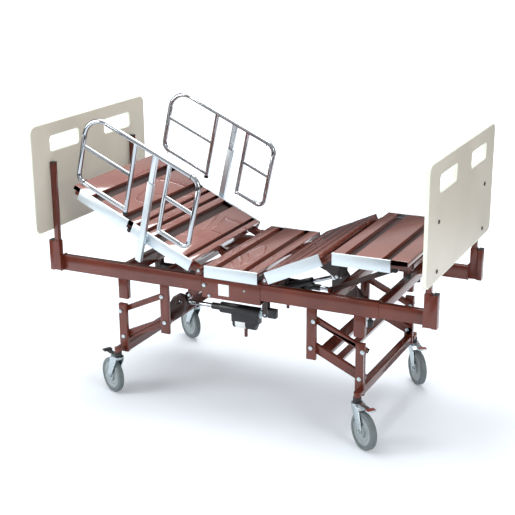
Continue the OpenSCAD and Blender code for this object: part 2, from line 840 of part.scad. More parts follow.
side_rails();
rail_sleeves();
frame_cross_tubes();
head_corner_brackets();
hanger_posts();
frame_bolts();
deck_hinge_plates();
seat_side_plates();
seat_slats();
control_box();
actuator_anchors();
extension_knobs();
head_lift_actuator();
foot_lift_actuator();
backrest_actuator();
extension_tubes();
foot_corner_brackets();
headboard_panel();
headboard_posts();
headboard_screws();
footboard_panel();
footboard_posts();
footboard_screws();
backrest_frame();
backrest_slats();
backrest_side_plates();
guard_sleeves();
near_guard_rail();
far_guard_rail();
thigh_frame();
knee_lever();
thigh_slats();
thigh_side_plates();
calf_frame();
calf_slats();
calf_side_plates();
calf_links();
head_lower_arms();
foot_lower_arms();
head_upper_links();
foot_upper_links();
head_leg_frame();
foot_leg_frame();
caster_fork_1();
caster_fork_2();
caster_fork_3();
caster_fork_4();
caster_wheel_1();
caster_wheel_2();
caster_wheel_3();
caster_wheel_4();
brake_pedal_1();
brake_pedal_2();
brake_pedal_3();
brake_pedal_4();
head_lift_rod();
foot_lift_rod();
backrest_rod();
knee_actuator();
knee_rod();
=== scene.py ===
import json
import math
import bpy
from mathutils import Matrix, Vector


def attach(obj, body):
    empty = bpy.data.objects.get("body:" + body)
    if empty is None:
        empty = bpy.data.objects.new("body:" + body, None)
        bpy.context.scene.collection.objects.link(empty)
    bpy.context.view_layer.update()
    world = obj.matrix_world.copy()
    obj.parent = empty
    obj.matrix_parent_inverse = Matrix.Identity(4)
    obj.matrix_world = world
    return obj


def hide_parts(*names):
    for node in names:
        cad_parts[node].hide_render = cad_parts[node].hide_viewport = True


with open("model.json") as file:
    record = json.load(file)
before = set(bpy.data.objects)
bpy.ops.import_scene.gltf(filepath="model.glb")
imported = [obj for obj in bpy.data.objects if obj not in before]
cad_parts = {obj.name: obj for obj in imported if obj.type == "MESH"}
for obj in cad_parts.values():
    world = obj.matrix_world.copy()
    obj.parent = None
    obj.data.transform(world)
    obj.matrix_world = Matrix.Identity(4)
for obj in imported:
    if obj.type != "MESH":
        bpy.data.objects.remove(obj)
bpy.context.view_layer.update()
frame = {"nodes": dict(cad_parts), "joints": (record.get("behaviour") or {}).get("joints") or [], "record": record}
print("stage: frame loaded")

# the deck pose that the pieces below are placed on, metres and degrees
deckPose = {
    "hingeZ": 0.760,
    "backX": -0.185,
    "backAngle": 25.0,
    "thighX": 0.190,
    "thighAngle": 25.0,
    "kneeReach": 0.378,
}
kneeZ = deckPose["hingeZ"] + deckPose["kneeReach"] * math.sin(math.radians(deckPose["thighAngle"]))


# place on the raised backrest, u up along it and v square to it
def onBack(u, y, v):
    angle = math.radians(deckPose["backAngle"])
    return Vector((deckPose["backX"] - u * math.cos(angle) + v * math.sin(angle), y,
                   deckPose["hingeZ"] + u * math.sin(angle) + v * math.cos(angle)))


# camera

view = {"azimuth": 25.879, "elevation": 17.638, "distance": 6.0506, "roll": -0.388,
        "target": (-0.037, 0.0066, 0.7376), "lens": 78.8}


def placeCamera():
    data = bpy.data.cameras.new("studioCamera")
    camera = bpy.data.objects.new("studioCamera", data)
    bpy.context.scene.collection.objects.link(camera)
    a, e, r = (math.radians(view[k]) for k in ("azimuth", "elevation", "roll"))
    back = Vector((math.sin(a) * math.cos(e), -math.cos(a) * math.cos(e), math.sin(e)))
    right = Vector((math.cos(a), math.sin(a), 0))
    up = back.cross(right)
    right, up = math.cos(r) * right + math.sin(r) * up, math.cos(r) * up - math.sin(r) * right
    turn = Matrix((right, up, back)).transposed().to_4x4()
    camera.matrix_world = Matrix.Translation(Vector(view["target"]) + back * view["distance"]) @ turn
    data.lens = view["lens"]
    data.sensor_width = 36
    data.clip_end = 200
    bpy.context.scene.camera = camera


placeCamera()
print("stage: camera placed")


# finishes

def linear(hexColour):
    channels = [int(hexColour[i:i + 2], 16) / 255 for i in (1, 3, 5)]
    return tuple(c / 12.92 if c <= 0.04045 else ((c + 0.055) / 1.055) ** 2.4 for c in channels) + (1.0,)


def addNode(tree, kind, values=None, links=None, **settings):
    node = tree.nodes.new(kind)
    for key, value in settings.items():
        setattr(node, key, value)
    for key, value in (values or {}).items():
        node.inputs[key].default_value = value
    for key, (source, output) in (links or {}).items():
        tree.links.new(source.outputs[output], node.inputs[key])
    return node


def startFinish(name, values):
    finish = bpy.data.materials.new(name)
    finish.use_nodes = True
    tree = finish.node_tree
    tree.nodes.clear()
    shader = addNode(tree, "ShaderNodeBsdfPrincipled", values)
    addNode(tree, "ShaderNodeOutputMaterial", links={"Surface": (shader, "BSDF")})
    place = addNode(tree, "ShaderNodeTexCoord")
    return finish, tree, shader, place


def perMetre(millimetres):
    return 1000.0 / millimetres


# epoxy powder coat baked on steel tube: a hard gloss with a faint orange-peel ripple and small dull scuffs
def makePowderCoat(name, deep, bright, roughness, peelHeight, gloss=0.25):
    finish, tree, shader, place = startFinish(name, {"IOR": 1.45, "Coat Weight": gloss, "Coat Roughness": 0.08,
                                                     "Coat IOR": 1.5})
    cloud = addNode(tree, "ShaderNodeTexNoise", {"Scale": perMetre(160), "Detail": 3.0},
                    {"Vector": (place, "Object")})
    spread = addNode(tree, "ShaderNodeMapRange", {"From Min": 0.3, "From Max": 0.7}, {"Value": (cloud, "Fac")})
    tone = addNode(tree, "ShaderNodeMix", {6: linear(deep), 7: linear(bright)}, {0: (spread, "Result")},
                   data_type="RGBA")
    scuff = addNode(tree, "ShaderNodeTexNoise", {"Scale": perMetre(9), "Detail": 5.0, "Roughness": 0.65},
                    {"Vector": (place, "Object")})
    dull = addNode(tree, "ShaderNodeMapRange", {"From Min": 0.45, "From Max": 0.75, "To Min": roughness,
                                                "To Max": roughness + 0.04}, {"Value": (scuff, "Fac")})
    # 2 mm in truth, drawn coarser to show
    peel = addNode(tree, "ShaderNodeTexNoise", {"Scale": perMetre(7), "Detail": 1.0}, {"Vector": (place, "Object")})
    ripple = addNode(tree, "ShaderNodeBump", {"Strength": 0.05, "Distance": peelHeight}, {"Height": (peel, "Fac")})
    tree.links.new(tone.outputs[2], shader.inputs["Base Color"])
    tree.links.new(dull.outputs["Result"], shader.inputs["Roughness"])
    tree.links.new(ripple.outputs["Normal"], shader.inputs["Normal"])
    return finish


mahoganyTubeCoat = makePowderCoat("mahoganyTubeCoat", "#511f13", "#61291b", 0.24, 0.00010)
darkLeverCoat = makePowderCoat("darkLeverCoat", "#2c1a16", "#3b2620", 0.34, 0.00010, 0.1)
pedalRedCoat = makePowderCoat("pedalRedCoat", "#7d3430", "#96443c", 0.35, 0.00012)


# gloss enamel on pressed sheet steel: mirror-like from a low angle, with the slow waviness of a thin pan
def makeSheetEnamel(name, deep, bright):
    finish, tree, shader, place = startFinish(name, {"IOR": 1.6, "Coat Weight": 1.0, "Coat Roughness": 0.02,
                                                     "Coat IOR": 1.7})
    cloud = addNode(tree, "ShaderNodeTexNoise", {"Scale": perMetre(220), "Detail": 2.0},
                    {"Vector": (place, "Object")})
    spread = addNode(tree, "ShaderNodeMapRange", {"From Min": 0.3, "From Max": 0.7}, {"Value": (cloud, "Fac")})
    tone = addNode(tree, "ShaderNodeMix", {6: linear(deep), 7: linear(bright)}, {0: (spread, "Result")},
                   data_type="RGBA")
    dust = addNode(tree, "ShaderNodeTexNoise", {"Scale": perMetre(5), "Detail": 6.0, "Roughness": 0.7},
                   {"Vector": (place, "Object")})
    dull = addNode(tree, "ShaderNodeMapRange", {"From Min": 0.4, "From Max": 0.8, "To Min": 0.12, "To Max": 0.24},
                   {"Value": (dust, "Fac")})
    wave = addNode(tree, "ShaderNodeTexNoise", {"Scale": perMetre(180), "Detail": 0.0}, {"Vector": (place, "Object")})
    oilCan = addNode(tree, "ShaderNodeBump", {"Strength": 0.04, "Distance": 0.0004}, {"Height": (wave, "Fac")})
    tree.links.new(tone.outputs[2], shader.inputs["Base Color"])
    tree.links.new(dull.outputs["Result"], shader.inputs["Roughness"])
    tree.links.new(oilCan.outputs["Normal"], shader.inputs["Normal"])
    return finish


mahoganySheetEnamel = makeSheetEnamel("mahoganySheetEnamel", "#733c30", "#82493c")
# the recessed sheet between the slats, coloured far darker than the slats as painted shade; dust lies there, so it is
# dull
paintedShadePanCoat = makePowderCoat("paintedShadePanCoat", "#220f0b", "#2e1510", 0.55, 0.00010, 0.0)


# bright nickel-chrome on drawn tube, polished: nearly a mirror, with a breath of polishing haze
def makeChrome():
    finish, tree, shader, place = startFinish("polishedChromeTube",
                                              {"Metallic": 1.0, "Base Color": linear("#b3b8bd")})
    haze = addNode(tree, "ShaderNodeTexNoise", {"Scale": perMetre(14), "Detail": 5.0, "Roughness": 0.6},
                   {"Vector": (place, "Object")})
    polish = addNode(tree, "ShaderNodeMapRange", {"From Min": 0.35, "From Max": 0.75, "To Min": 0.08,
                                                  "To Max": 0.17}, {"Value": (haze, "Fac")})
    draw = addNode(tree, "ShaderNodeTexNoise", {"Scale": perMetre(40), "Detail": 2.0}, {"Vector": (place, "Object")})
    ripple = addNode(tree, "ShaderNodeBump", {"Strength": 0.15, "Distance": 0.0002}, {"Height": (draw, "Fac")})
    tree.links.new(polish.outputs["Result"], shader.inputs["Roughness"])
    tree.links.new(ripple.outputs["Normal"], shader.inputs["Normal"])
    return finish


polishedChromeTube = makeChrome()


# clear-passivated zinc plate on steel: pale blue-white, satin, with a fine crystalline mottle
def makeZincPlate(name, cool, warm, low, high):
    finish, tree, shader, place = startFinish(name, {"Metallic": 1.0})
    crystal = addNode(tree, "ShaderNodeTexVoronoi", {"Scale": perMetre(7)}, {"Vector": (place, "Object")})
    spread = addNode(tree, "ShaderNodeMapRange", {"From Min": 0.1, "From Max": 0.8}, {"Value": (crystal, "Distance")})
    tone = addNode(tree, "ShaderNodeMix", {6: linear(cool), 7: linear(warm)}, {0: (spread, "Result")},
                   data_type="RGBA")
    grain = addNode(tree, "ShaderNodeTexNoise", {"Scale": perMetre(4), "Detail": 5.0}, {"Vector": (place, "Object")})
    satin = addNode(tree, "ShaderNodeMapRange", {"From Min": 0.3, "From Max": 0.7, "To Min": low, "To Max": high},
                    {"Value": (grain, "Fac")})
    pit = addNode(tree, "ShaderNodeBump", {"Strength": 0.12, "Distance": 0.0001}, {"Height": (grain, "Fac")})
    tree.links.new(tone.outputs[2], shader.inputs["Base Color"])
    tree.links.new(satin.outputs["Result"], shader.inputs["Roughness"])
    tree.links.new(pit.outputs["Normal"], shader.inputs["Normal"])
    return finish


zincPlatedSteel = makeZincPlate("zincPlatedSteel", "#aab6bb", "#c3cdd0", 0.22, 0.38)
zincSideSheet = makeZincPlate("zincSideSheet", "#ced8de", "#d6dfe4", 0.36, 0.46)


# decorative laminate pressed on particle board: flat putty colour with a fine matt pebble and a soft sheen
def makeLaminate():
    finish, tree, shader, place = startFinish("puttyLaminate", {"IOR": 1.5, "Specular IOR Level": 0.5})
    cloud = addNode(tree, "ShaderNodeTexNoise", {"Scale": perMetre(300), "Detail": 2.0},
                    {"Vector": (place, "Object")})
    spread = addNode(tree, "ShaderNodeMapRange", {"From Min": 0.3, "From Max": 0.7}, {"Value": (cloud, "Fac")})
    tone = addNode(tree, "ShaderNodeMix", {6: linear("#bdb7aa"), 7: linear("#c6c0b4")}, {0: (spread, "Result")},
                   data_type="RGBA")
    fleck = addNode(tree, "ShaderNodeTexNoise", {"Scale": perMetre(3), "Detail": 3.0}, {"Vector": (place, "Object")})
    spreadFlecks = addNode(tree, "ShaderNodeMapRange", {"From Min": 0.35, "From Max": 0.6}, {"Value": (fleck, "Fac")})
    flecks = addNode(tree, "ShaderNodeMix", {6: linear("#f2f0ec"), 7: linear("#ffffff")},
                     {0: (spreadFlecks, "Result")}, data_type="RGBA")
    mixed = addNode(tree, "ShaderNodeMix", {0: 1.0}, {6: (tone, 2), 7: (flecks, 2)}, data_type="RGBA",
                    blend_type="MULTIPLY")
    sheen = addNode(tree, "ShaderNodeMapRange", {"From Min": 0.3, "From Max": 0.7, "To Min": 0.30, "To Max": 0.40},
                    {"Value": (fleck, "Fac")})
    pebble = addNode(tree, "ShaderNodeTexNoise", {"Scale": perMetre(1.6), "Detail": 1.0},
                     {"Vector": (place, "Object")})
    texture = addNode(tree, "ShaderNodeBump", {"Strength": 0.2, "Distance": 0.00008}, {"Height": (pebble, "Fac")})
    tree.links.new(mixed.outputs[2], shader.inputs["Base Color"])
    tree.links.new(sheen.outputs["Result"], shader.inputs["Roughness"])
    tree.links.new(texture.outputs["Normal"], shader.inputs["Normal"])
    return finish


puttyLaminate = makeLaminate()


# extruded plastics and rubber share one build: a body colour with faint clouding and a fine moulded grain
def makeMoulded(name, deep, bright, low, high, grainSize, grainHeight):
    finish, tree, shader, place = startFinish(name, {"IOR": 1.5})
    cloud = addNode(tree, "ShaderNodeTexNoise", {"Scale": perMetre(45), "Detail": 3.0}, {"Vector": (place, "Object")})
    spread = addNode(tree, "ShaderNodeMapRange", {"From Min": 0.3, "From Max": 0.7}, {"Value": (cloud, "Fac")})
    tone = addNode(tree, "ShaderNodeMix", {6: linear(deep), 7: linear(bright)}, {0: (spread, "Result")},
                   data_type="RGBA")
    grain = addNode(tree, "ShaderNodeTexNoise", {"Scale": perMetre(grainSize), "Detail": 3.0},
                    {"Vector": (place, "Object")})
    satin = addNode(tree, "ShaderNodeMapRange", {"From Min": 0.3, "From Max": 0.7, "To Min": low, "To Max": high},
                    {"Value": (grain, "Fac")})
    skin = addNode(tree, "ShaderNodeBump", {"Strength": 0.3, "Distance": grainHeight}, {"Height": (grain, "Fac")})
    tree.links.new(tone.outputs[2], shader.inputs["Base Color"])
    tree.links.new(satin.outputs["Result"], shader.inputs["Roughness"])
    tree.links.new(skin.outputs["Normal"], shader.inputs["Normal"])
    return finish


# PVC edge strip: smooth, a little glossy
greenishEdgeBand = makeMoulded("greenishEdgeBand", "#d3d8c8", "#dfe3d6", 0.28, 0.38, 2.0, 0.00005)
# a thin line beside the strip, darkened as painted shadow in the joint
jointShadow = makeMoulded("jointShadow", "#6f6a60", "#7d776c", 0.6, 0.7, 2.0, 0.00005)
# ABS from a spark-eroded mould: soft satin
blackMouldedAbs = makeMoulded("blackMouldedAbs", "#0b0b0d", "#17181a", 0.30, 0.45, 1.2, 0.00010)
# moulded rubber: matt
blackRubber = makeMoulded("blackRubber", "#121213", "#1d1d1e", 0.55, 0.75, 1.5, 0.00015)
# non-marking thermoplastic rubber: dull grey
greyTyreRubber = makeMoulded("greyTyreRubber", "#5d6566", "#6b7475", 0.50, 0.65, 1.5, 0.00015)
# polyamide wheel centre: paler, a little glossy
greyWheelNylon = makeMoulded("greyWheelNylon", "#8a9496", "#98a2a4", 0.32, 0.45, 1.5, 0.00008)
# blank polyester label: smooth white film
whiteLabelVinyl = makeMoulded("whiteLabelVinyl", "#cfd2d1", "#dcdfde", 0.25, 0.35, 1.0, 0.00003)
# plastic sleeving on the motor lead
brownSleeving = makeMoulded("brownSleeving", "#4a241e", "#5a2f27", 0.35, 0.5, 1.5, 0.00010)
print("stage: finishes made")


# making pieces

def deselectAll():
    if bpy.context.object and bpy.context.object.mode != "OBJECT":
        bpy.ops.object.mode_set(mode="OBJECT")
    bpy.ops.object.select_all(action="DESELECT")


def takeUp(piece):
    deselectAll()
    piece.select_set(True)
    bpy.context.view_layer.objects.active = piece


def applyModifiers(piece):
    takeUp(piece)
    for modifier in list(piece.modifiers):
        bpy.ops.object.modifier_apply(modifier=modifier.name)


def smooth(piece, degrees=35):
    takeUp(piece)
    bpy.ops.object.shade_smooth_by_angle(angle=math.radians(degrees))
    applyModifiers(piece)


# rounds the outside corners of tubes and plates, wider along the long edges
def bevelSharp(piece, longWidth, shortWidth, longEdge=0.05, segments=3):
    mesh = piece.data
    faceNormals = {}
    for face in mesh.polygons:
        for key in face.edge_keys:
            faceNormals.setdefault(key, []).append((face.normal.copy(), face.center.copy()))
    weights = mesh.attributes.get("bevel_weight_edge") or mesh.attributes.new("bevel_weight_edge", "FLOAT", "EDGE")
    for edge in mesh.edges:
        sides = faceNormals.get(tuple(sorted(edge.vertices)), [])
        weight = 0.0
        if len(sides) == 2 and sides[0][0].angle(sides[1][0], 0) > math.radians(35):
            a, b = (mesh.vertices[v].co for v in edge.vertices)
            convex = (sides[1][1] - a).dot(sides[0][0]) < 0
            if convex:
                weight = 1.0 if (a - b).length > longEdge else shortWidth / longWidth
        weights.data[edge.index].value = weight
    bevel = piece.modifiers.new("corners", "BEVEL")
    bevel.limit_method = "WEIGHT"
    bevel.width = longWidth
    bevel.segments = segments
    bevel.use_clamp_overlap = False
    bevel.harden_normals = False
    applyModifiers(piece)


# a merged copy of a CAD node with rounded corners and smooth curves, shown in its place
def refined(node, name, finish, longWidth=0.0012, shortWidth=0.0006, longEdge=0.05, segments=2):
    piece = bpy.data.objects.new(name, frame["nodes"][node].data.copy())
    bpy.context.scene.collection.objects.link(piece)
    takeUp(piece)
    if piece.data.has_custom_normals:
        bpy.ops.mesh.customdata_custom_splitnormals_clear()
    bpy.ops.object.mode_set(mode="EDIT")
    bpy.ops.mesh.select_all(action="SELECT")
    bpy.ops.mesh.remove_doubles(threshold=0.00002)
    bpy.ops.mesh.dissolve_limited(angle_limit=math.radians(0.6))
    bpy.ops.object.mode_set(mode="OBJECT")
    piece.data.materials.clear()
    piece.data.materials.append(finish)
    for face in piece.data.polygons:
        face.material_index = 0
    if longWidth > 0:
        bevelSharp(piece, longWidth, shortWidth, longEdge, segments)
    smooth(piece)
    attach(piece, bodyOf[node])
    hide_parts(node)
    return piece


# gives another finish to the faces whose centre passes the test
def paint(piece, finish, test):
    piece.data.materials.append(finish)
    index = len(piece.data.materials) - 1
    for face in piece.data.polygons:
        if test(face.center, face.normal):
            face.material_index = index


# selects in edit mode the faces whose centre and normal pass the test
def selectFaces(piece, test):
    bpy.ops.object.mode_set(mode="EDIT")
    bpy.ops.mesh.select_mode(type="FACE")
    bpy.ops.mesh.select_all(action="DESELECT")
    bpy.ops.object.mode_set(mode="OBJECT")
    for face in piece.data.polygons:
        face.select = test(face.center, face.normal)
    bpy.ops.object.mode_set(mode="EDIT")


bodyOf = {node: body for body, nodes in frame["record"]["behaviour"]["bodies"].items() for node in nodes}

# which finish each CAD part carries, and how far its corners are rounded, in millimetres
partFinishes = {
    "side_rails": (mahoganyTubeCoat, 3.2),
    "rail_sleeves": (mahoganyTubeCoat, 3.6),
    "frame_cross_tubes": (mahoganyTubeCoat, 3.0),
    "head_corner_brackets": (mahoganyTubeCoat, 2.4),
    "foot_corner_brackets": (mahoganyTubeCoat, 2.4),
    "hanger_posts": (mahoganyTubeCoat, 2.6),
    "frame_bolts": (zincPlatedSteel, 1.2),
    "deck_hinge_plates": (mahoganyTubeCoat, 1.0),
    "seat_side_plates": (zincSideSheet, 1.2),
    "seat_slats": (mahoganySheetEnamel, 1.8),
    "control_box": (blackMouldedAbs, 4.0),
    "actuator_anchors": (darkLeverCoat, 1.0),
    "extension_knobs": (blackMouldedAbs, 2.0),
    "head_lift_actuator": (blackMouldedAbs, 2.5),
    "foot_lift_actuator": (blackMouldedAbs, 2.5),
    "backrest_actuator": (blackMouldedAbs, 2.5),
    "knee_actuator": (blackMouldedAbs, 2.5),
    "extension_tubes": (mahoganyTubeCoat, 2.8),
    "headboard_posts": (mahoganyTubeCoat, 2.4),
    "footboard_posts": (mahoganyTubeCoat, 2.4),
    "headboard_screws": (darkLeverCoat, 1.6),
    "footboard_screws": (darkLeverCoat, 1.6),
    "backrest_frame": (mahoganyTubeCoat, 2.0),
    "backrest_slats": (mahoganySheetEnamel, 1.8),
    "backrest_side_plates": (zincSideSheet, 1.2),
    "guard_sleeves": (zincSideSheet, 2.0),
    "near_guard_rail": (polishedChromeTube, 2.0),
    "far_guard_rail": (polishedChromeTube, 2.0),
    "thigh_frame": (mahoganyTubeCoat, 2.0),
    "knee_lever": (darkLeverCoat, 1.0),
    "thigh_slats": (mahoganySheetEnamel, 1.8),
    "thigh_side_plates": (zincSideSheet, 1.2),
    "calf_frame": (mahoganyTubeCoat, 2.0),
    "calf_slats": (mahoganySheetEnamel, 1.8),
    "calf_side_plates": (zincSideSheet, 1.2),
    "calf_links": (darkLeverCoat, 1.0),
    "head_lower_arms": (mahoganyTubeCoat, 2.4),
    "foot_lower_arms": (mahoganyTubeCoat, 2.4),
    "head_upper_links": (mahoganyTubeCoat, 2.0),
    "foot_upper_links": (mahoganyTubeCoat, 2.0),
    "head_leg_frame": (mahoganyTubeCoat, 2.6),
    "foot_leg_frame": (mahoganyTubeCoat, 2.6),
    "head_lift_rod": (polishedChromeTube, 1.0),
    "foot_lift_rod": (polishedChromeTube, 1.0),
    "backrest_rod": (polishedChromeTube, 1.0),
    "knee_rod": (polishedChromeTube, 1.0),
    "caster_fork_1": (zincPlatedSteel, 1.2),
    "caster_fork_2": (zincPlatedSteel, 1.2),
    "caster_fork_3": (zincPlatedSteel, 1.2),
    "caster_fork_4": (zincPlatedSteel, 1.2),
    "brake_pedal_1": (blackMouldedAbs, 1.6),
    "brake_pedal_2": (blackMouldedAbs, 1.6),
    "brake_pedal_3": (zincPlatedSteel, 1.6),
    "brake_pedal_4": (zincPlatedSteel, 1.6),
}


def pieceName(node):
    first, *rest = node.split("_")
    return first + "".join(word.capitalize() for word in rest)


pieces = {}
for node, (finish, cornerRound) in partFinishes.items():
    pieces[node] = refined(node, pieceName(node), finish, cornerRound / 1000, min(0.0006, cornerRound / 1000))
print("stage: frame parts refined")


# bed-end panels

panelShape = {"bandWidth": 0.0022, "jointShadowLine": 0.0009, "rimRound": 0.0020}


# a laminate board whose outline and hand holes carry an edge strip
def makePanel(node, name):
    piece = refined(node, name, greenishEdgeBand, 0)
    piece.data.materials.append(jointShadow)
    piece.data.materials.append(puttyLaminate)
    # both faces sink by the rim's radius, then come back up in two steps, which rounds the rim
    for side in (1, -1):
        selectFaces(piece, lambda c, n, side=side: n.x * side > 0.9)
        bpy.ops.transform.translate(value=(-side * panelShape["rimRound"], 0, 0))
    selectFaces(piece, lambda c, n: abs(n.x) > 0.9)
    for across, rise in ((0.3, 0.7), (0.7, 0.3)):
        bpy.ops.mesh.inset(thickness=panelShape["rimRound"] * across, depth=panelShape["rimRound"] * rise,
                           use_boundary=True, use_even_offset=True)
    bpy.ops.mesh.inset(thickness=panelShape["bandWidth"], depth=0, use_boundary=True, use_even_offset=True)
    # a narrow sunken ring at the joint, for the painted shadow line
    bpy.context.object.active_material_index = 1
    bpy.ops.mesh.inset(thickness=panelShape["jointShadowLine"], depth=-0.0003, use_boundary=True, use_even_offset=True)
    bpy.context.object.active_material_index = 2
    bpy.ops.object.material_slot_assign()
    bpy.ops.object.mode_set(mode="OBJECT")
    smooth(piece, 30)
    return piece


makePanel("headboard_panel", "headboardPanel")
makePanel("footboard_panel", "footboardPanel")
print("stage: bed-end panels made")


# second finishes on the refined parts

# where one finish stops and the next starts, metres in the frame's axes
finishLimits = {
    "headPostTop": 1.2478, "footPostTop": 1.2048,
    "bracketCap": 0.8191, "bracketEnd": 1.06,
    "legBoltOut": 0.3872, "legBoltOutFloor": 0.28, "legBoltIn": 0.3655, "legBoltInFloor": 0.282,
    "collarOut": 0.4135, "collarTop": 0.2504,
    "kneePinHead": 0.01605, "bumperTop": 0.0435,
    "railBandLow": 0.085, "railBandHigh": 0.0915,
    "hingePinOut": 0.3802, "bracketFaceIn": 0.2719, "bracketFaceOut": 0.2721,
    "leverIn": 0.234, "leverOut": 0.266, "leverBottom": 0.40,
    "stubTop": 0.4262, "pedalTip": 0.2272,
    "panTop": 0.0153,
}
backSin, backCos = math.sin(math.radians(deckPose["backAngle"])), math.cos(math.radians(deckPose["backAngle"]))
thighSin, thighCos = math.sin(math.radians(deckPose["thighAngle"])), math.cos(math.radians(deckPose["thighAngle"]))


# height above the backrest's hinge line, square to the backrest
def backHeight(c):
    return (c.x - deckPose["backX"]) * backSin + (c.z - deckPose["hingeZ"]) * backCos


def thighHeight(c):
    return (c.z - deckPose["hingeZ"]) * thighCos - (c.x - deckPose["thighX"]) * thighSin


for node, top in (("headboard_posts", finishLimits["headPostTop"]), ("footboard_posts", finishLimits["footPostTop"])):
    paint(pieces[node], blackMouldedAbs, lambda c, n, top=top: c.z > top)
for node in ("head_corner_brackets", "foot_corner_brackets"):
    paint(pieces[node], blackMouldedAbs,
          lambda c, n: c.z > finishLimits["bracketCap"] and abs(c.x) > finishLimits["bracketEnd"])
for node in ("head_leg_frame", "foot_leg_frame"):
    paint(pieces[node], zincPlatedSteel,
          lambda c, n: (abs(c.y) > finishLimits["legBoltOut"] and c.z > finishLimits["legBoltOutFloor"])
          or (abs(c.y) < finishLimits["legBoltIn"] and c.z > finishLimits["legBoltInFloor"]))
    paint(pieces[node], blackMouldedAbs,
          lambda c, n: abs(c.y) > finishLimits["collarOut"] and c.z < finishLimits["collarTop"])
paint(pieces["knee_lever"], zincPlatedSteel, lambda c, n: abs(c.y) > finishLimits["kneePinHead"])
paint(pieces["calf_frame"], blackRubber, lambda c, n: c.z < kneeZ - finishLimits["bumperTop"])
for node in ("near_guard_rail", "far_guard_rail"):
    paint(pieces[node], blackMouldedAbs,
          lambda c, n: finishLimits["railBandLow"] < backHeight(c) < finishLimits["railBandHigh"])
for node in ("head_lower_arms", "foot_lower_arms"):
    paint(pieces[node], darkLeverCoat,
          lambda c, n: finishLimits["leverIn"] < abs(c.y) < finishLimits["leverOut"]
          and c.z > finishLimits["leverBottom"])

# each lift actuator's clevis and rear pin are zinc; the two housings mirror each other about x = 25.5 mm
liftClevis = {"mirrorX": 0.0255, "start": 0.106, "end": 0.1515, "middle": 0.25, "pinOut": 0.0175,
              "pinStart": 0.12, "pinEnd": 0.15, "bottom": 0.5}
for node in ("head_lift_actuator", "foot_lift_actuator"):
    away = 1 if node.startswith("head") else -1

    def onClevis(c, n, away=away):
        along = (c.x - liftClevis["mirrorX"]) * away + liftClevis["mirrorX"]
        onPin = (abs(abs(c.y) - liftClevis["middle"]) > liftClevis["pinOut"] and c.z > liftClevis["bottom"]
                 and liftClevis["pinStart"] < along < liftClevis["pinEnd"])
        return liftClevis["start"] < along < liftClevis["end"] or onPin

    paint(pieces[node], zincPlatedSteel, onClevis)
    paint(pieces[node], brownSleeving, lambda c, n: c.z < finishLimits["stubTop"])
# the pin ends outside the hinge plates, and the face of the calf link brackets that the links turn beside
paint(pieces["deck_hinge_plates"], zincPlatedSteel,
      lambda c, n: abs(c.y) > finishLimits["hingePinOut"]
      or finishLimits["bracketFaceIn"] < abs(c.y) < finishLimits["bracketFaceOut"])
for node in ("brake_pedal_3", "brake_pedal_4"):
    paint(pieces[node], pedalRedCoat, lambda c, n: c.z > finishLimits["pedalTip"])

# the recessed sheets under the slats, found by their height above each deck section, take the painted shade finish
paint(pieces["seat_slats"], paintedShadePanCoat, lambda c, n: c.z - deckPose["hingeZ"] < finishLimits["panTop"])
paint(pieces["backrest_slats"], paintedShadePanCoat, lambda c, n: backHeight(c) < finishLimits["panTop"])
paint(pieces["thigh_slats"], paintedShadePanCoat, lambda c, n: thighHeight(c) < finishLimits["panTop"])
paint(pieces["calf_slats"], paintedShadePanCoat, lambda c, n: c.z - kneeZ < finishLimits["panTop"])
print("stage: second finishes painted")


# caster wheels

# rings: (inset, rise) steps on each side of the wheel, from the tyre inwards to the hub
wheelShape = {
    "radius": 0.096,
    "width": 0.032,
    "treadRound": 0.007,
    "tyreWall": 0.013,
    "lipDepth": 0.0035,
    "rings": ((0.0025, 0.0022), (0.0030, 0.0), (0.0018, -0.0030), (0.0125, -0.0012), (0.0015, 0.0024), (0.0025, 0.0),
              (0.0015, -0.0024), (0.0130, -0.0008), (0.0020, 0.0035), (0.0040, 0.0), (0.0012, 0.0062), (0.0030, 0.0)),
}
casterNumbers = (1, 2, 3, 4)


def jointAxis(name):
    joint = [j for j in frame["joints"] if j["name"] == name][0]
    return Vector(joint["pos_m"]), Vector(joint["axis"]).normalized()


# a tyre on a dished centre with raised rings, its axle along Y at the origin
def makeWheel():
    deselectAll()
    bpy.ops.mesh.primitive_cylinder_add(vertices=72, radius=wheelShape["radius"], depth=wheelShape["width"],
                                        rotation=(math.pi / 2, 0, 0))
    wheel = bpy.context.object
    bpy.ops.object.transform_apply(location=True, rotation=True, scale=True)
    wheel.data.materials.append(greyTyreRubber)
    wheel.data.materials.append(greyWheelNylon)
    selectFaces(wheel, lambda c, n: abs(n.y) > 0.9)
    bpy.ops.mesh.inset(thickness=wheelShape["treadRound"], depth=0, use_individual=True)
    bpy.ops.mesh.inset(thickness=wheelShape["tyreWall"], depth=0.0008, use_individual=True)
    wheel.active_material_index = 1
    bpy.ops.mesh.inset(thickness=0.0016, depth=-wheelShape["lipDepth"], use_individual=True)
    bpy.ops.object.material_slot_assign()
    for inset, rise in wheelShape["rings"]:
        bpy.ops.mesh.inset(thickness=inset, depth=rise, use_individual=True)
    bpy.ops.object.mode_set(mode="OBJECT")
    rim = wheelShape["radius"]
    weights = wheel.data.attributes.new("bevel_weight_edge", "FLOAT", "EDGE")
    for edge in wheel.data.edges:
        a, b = (wheel.data.vertices[v].co for v in edge.vertices)
        onRim = all(abs(math.hypot(v.x, v.z) - rim) < 1e-5 for v in (a, b)) and abs(a.y - b.y) < 1e-6
        weights.data[edge.index].value = 1.0 if onRim else 0.0
    bevel = wheel.modifiers.new("treadRound", "BEVEL")
    bevel.limit_method = "WEIGHT"
    bevel.width = wheelShape["treadRound"] * 0.9
    bevel.segments = 5
    bevel.use_clamp_overlap = False
    applyModifiers(wheel)
    smooth(wheel, 32)
    return wheel


